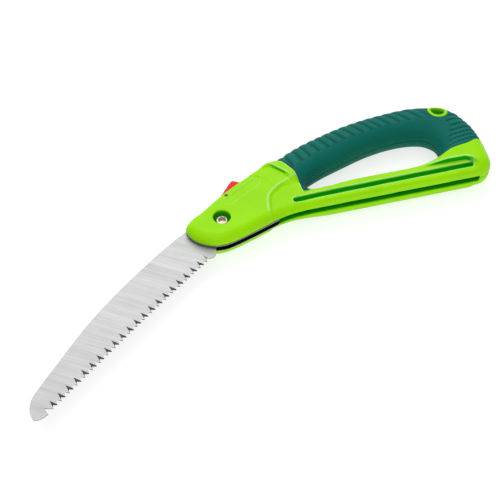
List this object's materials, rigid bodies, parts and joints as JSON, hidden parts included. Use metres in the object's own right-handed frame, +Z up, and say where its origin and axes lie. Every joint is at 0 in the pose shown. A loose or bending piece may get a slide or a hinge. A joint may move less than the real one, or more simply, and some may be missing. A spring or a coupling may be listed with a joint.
{
  "type": "folding pruning saw",
  "caption": "Folding pruning saw: a curved toothed blade turns into a slotted strut under a closed D-shaped handle with a ribbed rubber grip, a thumb lock lever and a hanging eye.",
  "frame": {"origin": "under the middle of the saw's box: the saw lies on its right side with the blade open, and the origin is on the surface it lies on", "axes": "+X along the straight strut towards the rear of the handle, +Y from the strut towards the hand grip, +Z up, across the handle from its right side to its left side"},
  "size_m": [0.3884, 0.2212, 0.029],
  "materials": {
    "lime_plastic": "satin moulded plastic, bright lime green",
    "teal_rubber": "soft moulded rubber, dark teal, ribbed",
    "red_plastic": "smooth moulded plastic, red",
    "blade_steel": "ground and polished steel with fine cross-wise grinding lines",
    "plate_steel": "plain rolled steel plate",
    "bright_steel": "bright nickel-plated steel",
    "dark_steel": "blackened steel",
    "bronze": "plain bearing bronze"
  },
  "bodies": {
    "handle": {"handle_shell_left": "lime_plastic", "handle_shell_right": "lime_plastic", "grip_left": "teal_rubber", "grip_right": "teal_rubber", "pivot_screw": "bright_steel", "pivot_nut": "bright_steel", "pivot_bushing": "bronze", "washer_left": "bronze", "washer_right": "bronze", "liner_left": "plate_steel", "liner_right": "plate_steel", "stop_pin": "dark_steel", "lever_pin": "dark_steel", "lock_spring": "bright_steel", "shell_screw_1": "dark_steel", "shell_screw_2": "dark_steel", "shell_screw_3": "dark_steel", "shell_screw_4": "dark_steel", "shell_screw_5": "dark_steel", "shell_screw_6": "dark_steel"},
    "blade": {"blade": "blade_steel"},
    "lock_lever": {"lock_lever": "plate_steel", "thumb_button": "red_plastic"}
  },
  "joints": [
    {"name": "blade_fold", "type": "hinge", "parent": "handle", "child": "blade", "pos_m": [-0.0337, 0.02611, 0.0145], "axis": [0, 0, 1], "range_deg": [0, 141]},
    {"name": "lever_press", "type": "hinge", "parent": "handle", "child": "lock_lever", "pos_m": [-0.02533, 0.04712, 0.0145], "axis": [0, 0, 1], "range_deg": [0, 8.5], "stiffness_Nm_per_rad": 0.4, "springref_deg": 11.46, "deforming": ["lock_spring"]}
  ]
}
